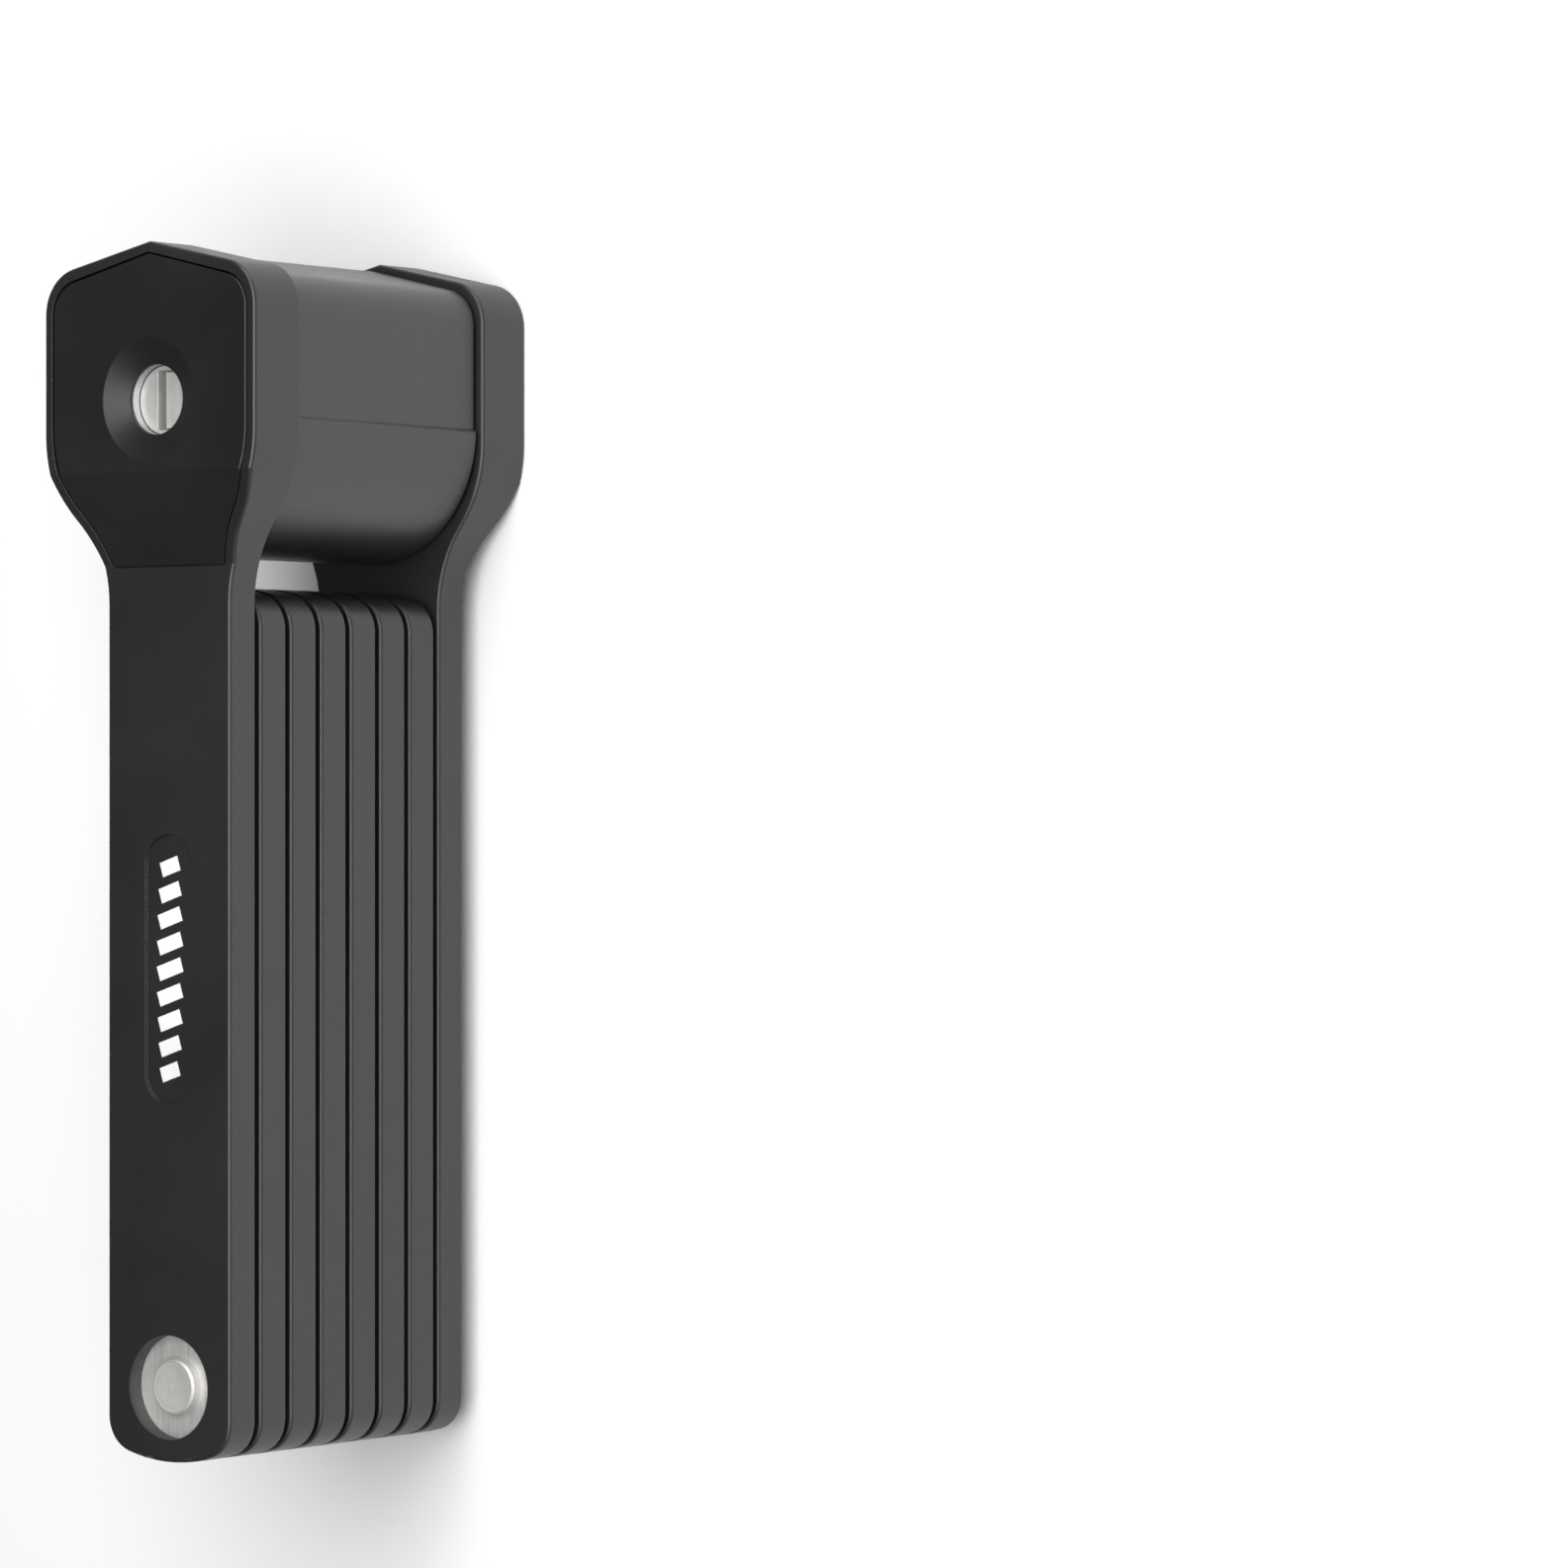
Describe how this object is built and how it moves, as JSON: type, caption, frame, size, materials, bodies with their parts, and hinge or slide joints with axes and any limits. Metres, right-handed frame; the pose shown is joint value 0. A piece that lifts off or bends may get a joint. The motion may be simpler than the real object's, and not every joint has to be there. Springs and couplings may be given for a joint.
{
  "type": "folding bike lock",
  "caption": "Folding bike lock lying flat: hinged steel bars in black jackets fold into one stack beside a keyed lock body that takes the end stud.",
  "frame": {"origin": "middle of the folded lock's footprint, on the outer face of the rear head that it lies on", "axes": "+X along the folded bars towards the lock body, +Z along the key cylinder and every rivet, out of the keyed face, +Y towards the side that the latch stud leaves by"},
  "size_m": [0.1852, 0.043, 0.0639],
  "materials": {
    "bar_jacket": "soft-touch moulded, fine texture",
    "head_cover": "satin moulded",
    "bar_steel": "ground hardened steel",
    "rivets": "turned end faces",
    "washers": "matt nylon",
    "lock_body": "satin black powder coat",
    "slot_insert": "dark phosphated steel",
    "screws": "blackened steel",
    "key_plug": "satin nickel",
    "brass_works": "machined",
    "lock_steel": "machined",
    "latch_stud": "hardened, turned"
  },
  "bodies": {
    "front_arm": {"front_arm_core": "bar_steel", "front_arm_jacket": "bar_jacket", "front_cover": "head_cover", "housing_cap": "lock_body", "housing_round": "lock_body", "slot_insert": "slot_insert", "housing_screws": "screws", "cylinder_barrel": "brass_works", "barrel_sleeve": "lock_steel", "drill_guard": "lock_steel", "driver_pins": "brass_works", "pin_springs": "lock_steel", "bolt_guide": "lock_steel", "rivet_1": "rivets"},
    "key_plug": {"key_plug": "key_plug", "dust_shutter": "key_plug", "key_pins": "brass_works", "retaining_clip": "lock_steel", "drive_cam": "lock_steel"},
    "bolt": {"locking_pin": "lock_steel", "cross_pin": "lock_steel"},
    "link_1": {"link_1_core": "bar_steel", "link_1_jacket": "bar_jacket", "washer_1": "washers", "rivet_2": "rivets"},
    "link_2": {"link_2_core": "bar_steel", "link_2_jacket": "bar_jacket", "washer_2": "washers", "rivet_3": "rivets"},
    "link_3": {"link_3_core": "bar_steel", "link_3_jacket": "bar_jacket", "washer_3": "washers", "rivet_4": "rivets"},
    "link_4": {"link_4_core": "bar_steel", "link_4_jacket": "bar_jacket", "washer_4": "washers", "rivet_5": "rivets"},
    "link_5": {"link_5_core": "bar_steel", "link_5_jacket": "bar_jacket", "washer_5": "washers", "rivet_6": "rivets"},
    "link_6": {"link_6_core": "bar_steel", "link_6_jacket": "bar_jacket", "washer_6": "washers", "rivet_7": "rivets"},
    "rear_arm": {"rear_arm_core": "bar_steel", "rear_arm_jacket": "bar_jacket", "rear_cover": "head_cover", "latch_stud": "latch_stud", "washer_7": "washers"}
  },
  "joints": [
    {"name": "rivet_1_fold", "type": "hinge", "parent": "front_arm", "child": "link_1", "pos_m": [-0.08125, 0, 0.057], "axis": [0, 0, 1], "range_deg": [0, 142.24]},
    {"name": "rivet_2_fold", "type": "hinge", "parent": "link_1", "child": "link_2", "pos_m": [0.02915, 0, 0.05], "axis": [0, 0, 1], "range_deg": [0, 112]},
    {"name": "rivet_3_fold", "type": "hinge", "parent": "link_2", "child": "link_3", "pos_m": [-0.08125, 0, 0.043], "axis": [0, 0, 1], "range_deg": [0, 170]},
    {"name": "rivet_4_fold", "type": "hinge", "parent": "link_3", "child": "link_4", "pos_m": [0.02915, 0, 0.036], "axis": [0, 0, 1], "range_deg": [0, 112]},
    {"name": "rivet_5_fold", "type": "hinge", "parent": "link_4", "child": "link_5", "pos_m": [-0.08125, 0, 0.029], "axis": [0, 0, 1], "range_deg": [0, 170]},
    {"name": "rivet_6_fold", "type": "hinge", "parent": "link_5", "child": "link_6", "pos_m": [0.02915, 0, 0.022], "axis": [0, 0, 1], "range_deg": [0, 112]},
    {"name": "rivet_7_fold", "type": "hinge", "parent": "link_6", "child": "rear_arm", "pos_m": [-0.08125, 0, 0.015], "axis": [0, 0, 1], "range_deg": [0, 142.24]},
    {"name": "plug_turn", "type": "hinge", "parent": "front_arm", "child": "key_plug", "pos_m": [0.06875, 0, 0.05], "axis": [0, 0, 1], "range_deg": [0, 90]},
    {"name": "bolt_slide", "type": "slide", "parent": "front_arm", "child": "bolt", "axis": [0, 0, -1], "range_m": [0, 0.005]}
  ],
  "couplings": [
    {"joint": "bolt_slide", "follows": "plug_turn", "m_per_rad": 0.003183}
  ]
}
